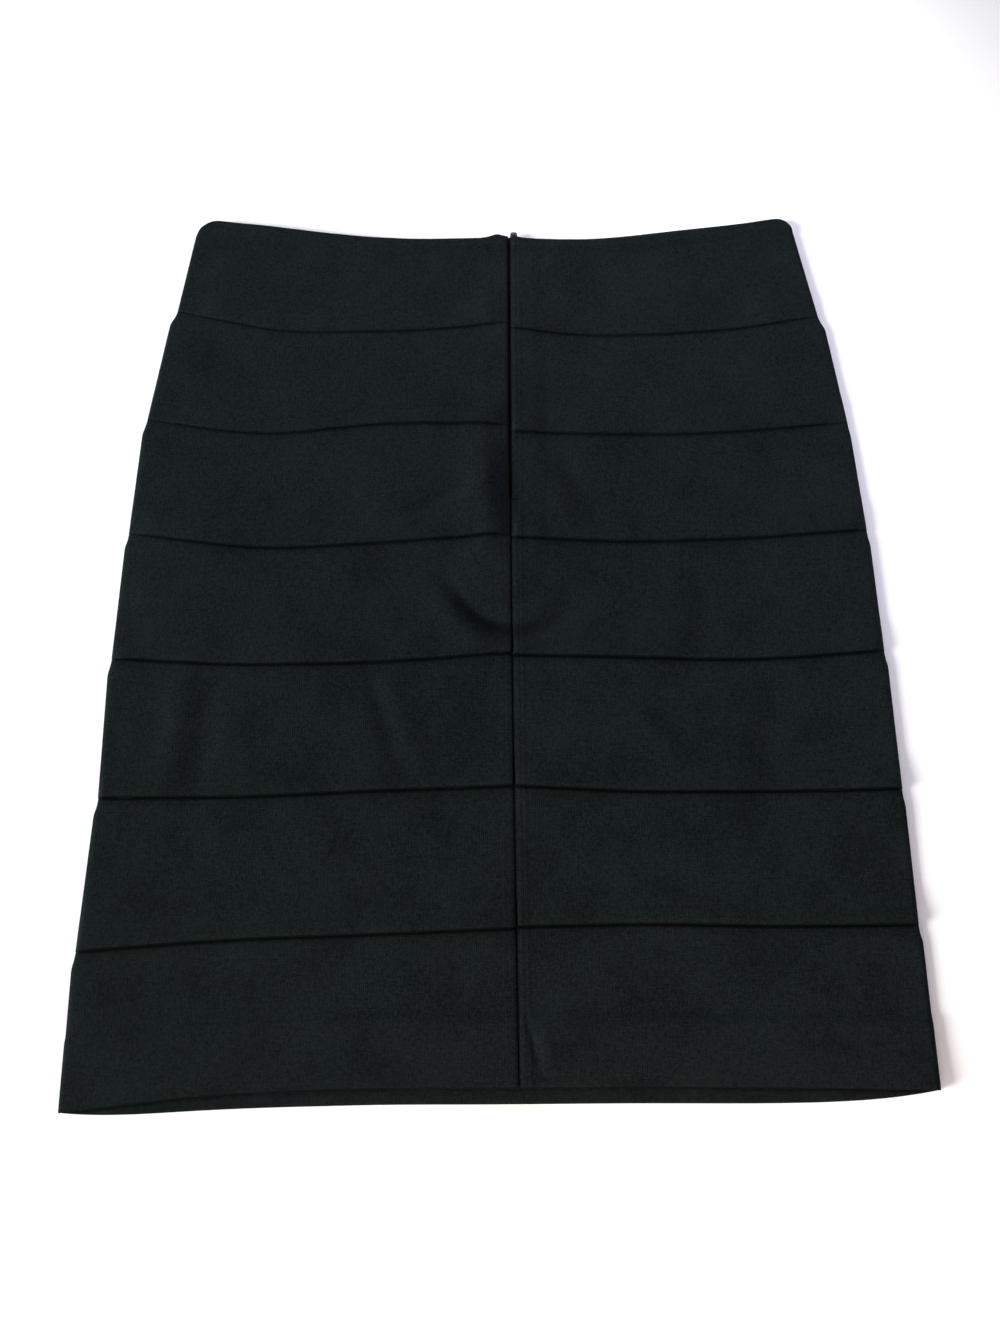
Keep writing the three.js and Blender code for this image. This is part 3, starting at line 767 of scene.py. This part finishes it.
def knit_material():
    sheen = {"weight": 0.008, "roughness": 0.4, "tint": (0.75, 0.88, 1.0)}
    dark = (0.0023, 0.0041, 0.0042)
    light = (0.0091, 0.013, 0.013)
    return textile("knit", wale=1.15, course=0.85, dark=dark, light=light, sheen=sheen)


def tape_material():
    sheen = {"weight": 0.004, "roughness": 0.4, "tint": (0.9, 0.95, 1.0)}
    dark = (0.002, 0.0025, 0.003)
    light = (0.005, 0.006, 0.0065)
    return textile("zip_tape_weave", wale=0.6, course=0.45, dark=dark, light=light, sheen=sheen)


def hard_material(name, dark, light, roughness, metallic, grain):
    """Moulded or painted trim with faint wear in its gloss."""
    material, nodes, links = new_material(name)
    shader = nodes["Principled BSDF"]
    where = nodes.new("ShaderNodeTexCoord").outputs["Object"]
    cloud = noise_node(nodes, links, where, grain, detail=3.0)
    stops = zip(WEAR["stops"], (dark, light))
    links.new(ramp_node(nodes, links, cloud, stops), shader.inputs["Base Color"])
    gloss = math_node(nodes, links, "MULTIPLY", cloud, WEAR["gloss"])
    wear = math_node(nodes, links, "ADD", gloss, roughness - WEAR["gloss"] / 2)
    links.new(wear, shader.inputs["Roughness"])
    normal = bump_node(nodes, links, cloud, WEAR["relief"], WEAR["strength"])
    links.new(normal, shader.inputs["Normal"])
    shader.inputs["Metallic"].default_value = metallic
    shader.inputs["Specular IOR Level"].default_value = 0.05
    return material


def plastic_material():
    dark = (0.0012, 0.0014, 0.0016)
    light = (0.003, 0.0034, 0.0036)
    return hard_material("zip_plastic", dark, light, roughness=0.8, metallic=0, grain=0.8)


def enamel_material():
    dark = (0.01, 0.0105, 0.0115)
    light = (0.08, 0.082, 0.086)
    return hard_material("slider_enamel", dark, light, roughness=0.5, metallic=0.4, grain=0.9)


def floor_material():
    material, nodes, links = new_material("pale_floor")
    shader = nodes["Principled BSDF"]
    where = nodes.new("ShaderNodeTexCoord").outputs["Object"]
    cloud = noise_node(nodes, links, where, size=400, detail=2.0)
    stops = ((0.3, (0.95, 0.95, 0.95)), (0.7, (0.97, 0.97, 0.97)))
    links.new(ramp_node(nodes, links, cloud, stops), shader.inputs["Base Color"])
    shader.inputs["Roughness"].default_value = 0.9
    shader.inputs["Specular IOR Level"].default_value = 0.1
    return material


knit = knit_material()
tape = tape_material()
plastic = plastic_material()
enamel = enamel_material()


# Camera, light and floor
def make_camera():
    elevation = math.radians(CAMERA["elevation"])
    back = Vector((0, -math.cos(elevation), math.sin(elevation)))
    aim = Vector((CAD_SHIFT[0], CAMERA["aim_y"] + CAD_SHIFT[1], 0)) * MM
    data = bpy.data.cameras.new("camera")
    data.sensor_width = CAMERA["sensor"]
    data.lens = CAMERA["sensor"] * CAMERA["focal_px"] / CAMERA["long_side_px"]
    data.clip_start = 0.01
    camera = bpy.data.objects.new("camera", data)
    camera.location = aim + back * CAMERA["distance"] * MM
    camera.rotation_euler = (-back).to_track_quat("-Z", "Y").to_euler()
    bpy.context.scene.collection.objects.link(camera)
    bpy.context.scene.camera = camera


def make_light():
    for lamp in LAMPS:
        data = bpy.data.lights.new(lamp["name"], "AREA")
        data.size = lamp["size"]
        data.energy = lamp["power"]
        data.color = lamp["color"]
        light = bpy.data.objects.new(lamp["name"], data)
        light.location = lamp["place"]
        light.visible_camera = False
        light.rotation_euler = (-Vector(lamp["place"])).to_track_quat("-Z", "Y").to_euler()
        bpy.context.scene.collection.objects.link(light)
    world = bpy.data.worlds.new("studio")
    world.use_nodes = True
    background = world.node_tree.nodes["Background"]
    background.inputs["Color"].default_value = (*WORLD["color"], 1)
    background.inputs["Strength"].default_value = WORLD["strength"]
    bpy.context.scene.world = world
    bpy.context.scene.view_settings.view_transform = "Standard"


def make_floor():
    half = FLOOR["half"]
    corners = [(-half, -half), (half, -half), (half, half), (-half, half)]
    mesh = bpy.data.meshes.new("floor")
    mesh.from_pydata([(x, y, -FLOOR["down"]) for x, y in corners], [], [(0, 1, 2, 3)])
    mesh.materials.append(floor_material())
    floor = bpy.data.objects.new("floor", mesh)
    bpy.context.scene.collection.objects.link(floor)


def make_back_band(hand, band):
    faces = [back_points(hand, band, outer) for outer in (True, False)]
    if hand < 0:
        faces = [[grid[:, ::-1] for grid in face] for face in faces]
    side = side_name(hand)
    piece = cloth_object(f"cloth_back_{side}_{band + 1}", *faces)
    stand_for(piece, f"back_{side}_band_{band + 1}")


def make_front_band(band):
    piece = cloth_object(f"cloth_front_{band + 1}", front_points(band, True), front_points(band, False))
    stand_for(piece, f"front_band_{band + 1}")


# The zip: woven tapes, two interlocking coils, and the slider whose crown shows at the waist
def make_tape(hand):
    y_low = ZIP["end"] - ZIP["tail"]
    y_high = seam_top - ZIP["top"]
    y = np.linspace(y_low, y_high, round((y_high - y_low) / TAPE["step"]) + 1)[:, None]
    across = np.array([ZIP["inner"], *TAPE["across"], ZIP["outer"]])
    edge = np.minimum(across - across[0], across[-1] - across)
    cord = TAPE_CORD["rise"] * np.exp(-((across - TAPE_CORD["place"]) / TAPE_CORD["width"]) ** 2)
    half = TAPE["thick"] / 2 * lerp(TAPE["edge"], 1, quarter_round(edge, TAPE["round"]))
    middle = BACK_FLOOR + TAPE["thick"] / 2
    x = seam_x(y) + hand * across
    rows = np.broadcast_to(y, x.shape)
    upper = np.stack([x, rows, np.broadcast_to(middle + half + cord, x.shape)], axis=-1)
    lower = np.stack([x, rows, np.broadcast_to(middle - half, x.shape)], axis=-1)
    if hand < 0:
        upper, lower = upper[:, ::-1], lower[:, ::-1]
    side = side_name(hand)
    piece = wall_object(f"tape_{side}", upper, lower, tape)
    stand_for(piece, f"zip_tape_{side}")


def tube(path, radius, sides):
    """Points and quads of a round tube along a path of points, closed at both ends."""
    ahead = np.gradient(path, axis=0)
    ahead = ahead / np.linalg.norm(ahead, axis=1)[:, None]
    first = np.cross(ahead, OFF_AXIS)
    first = first / np.linalg.norm(first, axis=1)[:, None]
    second = np.cross(ahead, first)
    angles = np.linspace(0, 2 * math.pi, sides, endpoint=False)[:, None]
    ring = (first[:, None] * np.cos(angles) + second[:, None] * np.sin(angles)) * radius
    points = (path[:, None] + ring).reshape(-1, 3)
    number = np.arange(len(path) * sides).reshape(len(path), sides)
    onward = np.roll(number, -1, axis=1)
    quads = np.stack([number[:-1], onward[:-1], onward[1:], number[1:]], axis=-1).reshape(-1, 4)
    return points, quads, [number[0, ::-1], number[-1]]


def make_coils():
    y_low = ZIP["end"] - ZIP["tail"] / 2 + 2 * COIL["wire"]
    y_high = seam_top - ZIP["top"] - 2 * COIL["wire"]
    turns = (y_high - y_low) / COIL["pitch"]
    angle = np.linspace(0, 2 * math.pi * turns, round(turns * COIL["turn_points"]))
    y = y_low + angle / (2 * math.pi) * COIL["pitch"]
    all_points, all_faces, start = [], [], 0
    for hand in (-1, 1):
        phase = angle + (0 if hand < 0 else math.pi)
        x = seam_x(y) + hand * (1 - COIL["reach"]) + COIL["half"] * np.cos(phase)
        z = BACK_FLOOR + COIL["height"] + COIL["tall"] * np.sin(phase)
        points, quads, caps = tube(np.stack([x, y, z], axis=-1), COIL["wire"], COIL["wire_points"])
        all_points.append(points)
        all_faces += [(face + start).tolist() for face in [*quads, *caps]]
        start += len(points)
    piece = mesh_object("coil_turns", np.concatenate(all_points), all_faces, plastic)
    stand_for(piece, "zip_coil")


def make_slider():
    angles = np.linspace(0, 2 * math.pi, SLIDER_POINTS, endpoint=False)
    across = np.sign(np.cos(angles)) * np.abs(np.cos(angles)) ** (2 / SLIDER_SQUARE)
    upward = np.sign(np.sin(angles)) * np.abs(np.sin(angles)) ** (2 / SLIDER_SQUARE)
    points = []
    for ring in SLIDER:
        middle = (ring["low"] + ring["high"]) / 2
        tall = (ring["high"] - ring["low"]) / 2
        x = float(seam_x(seam_top)) + SLIDER_LEAN + ring["half"] * across
        y = np.full_like(x, seam_top + ring["y"])
        points.append(np.stack([x, y, BACK_FLOOR + middle + tall * upward], axis=-1))
    number = np.arange(len(SLIDER) * SLIDER_POINTS).reshape(len(SLIDER), SLIDER_POINTS)
    onward = np.roll(number, -1, axis=1)
    quads = np.stack([number[:-1], number[1:], onward[1:], onward[:-1]], axis=-1).reshape(-1, 4)
    faces = [*quads.tolist(), number[0].tolist(), number[-1, ::-1].tolist()]
    piece = mesh_object("slider_body", np.concatenate(points), faces, enamel)
    smooth = piece.modifiers.new("round", "SUBSURF")
    smooth.levels = 1
    smooth.render_levels = 1
    stand_for(piece, "zip_slider")


make_camera()
make_light()
make_floor()
for band in range(BAND_COUNT):
    make_front_band(band)
    for hand in (-1, 1):
        make_back_band(hand, band)
for hand in (-1, 1):
    make_tape(hand)
make_coils()
make_slider()
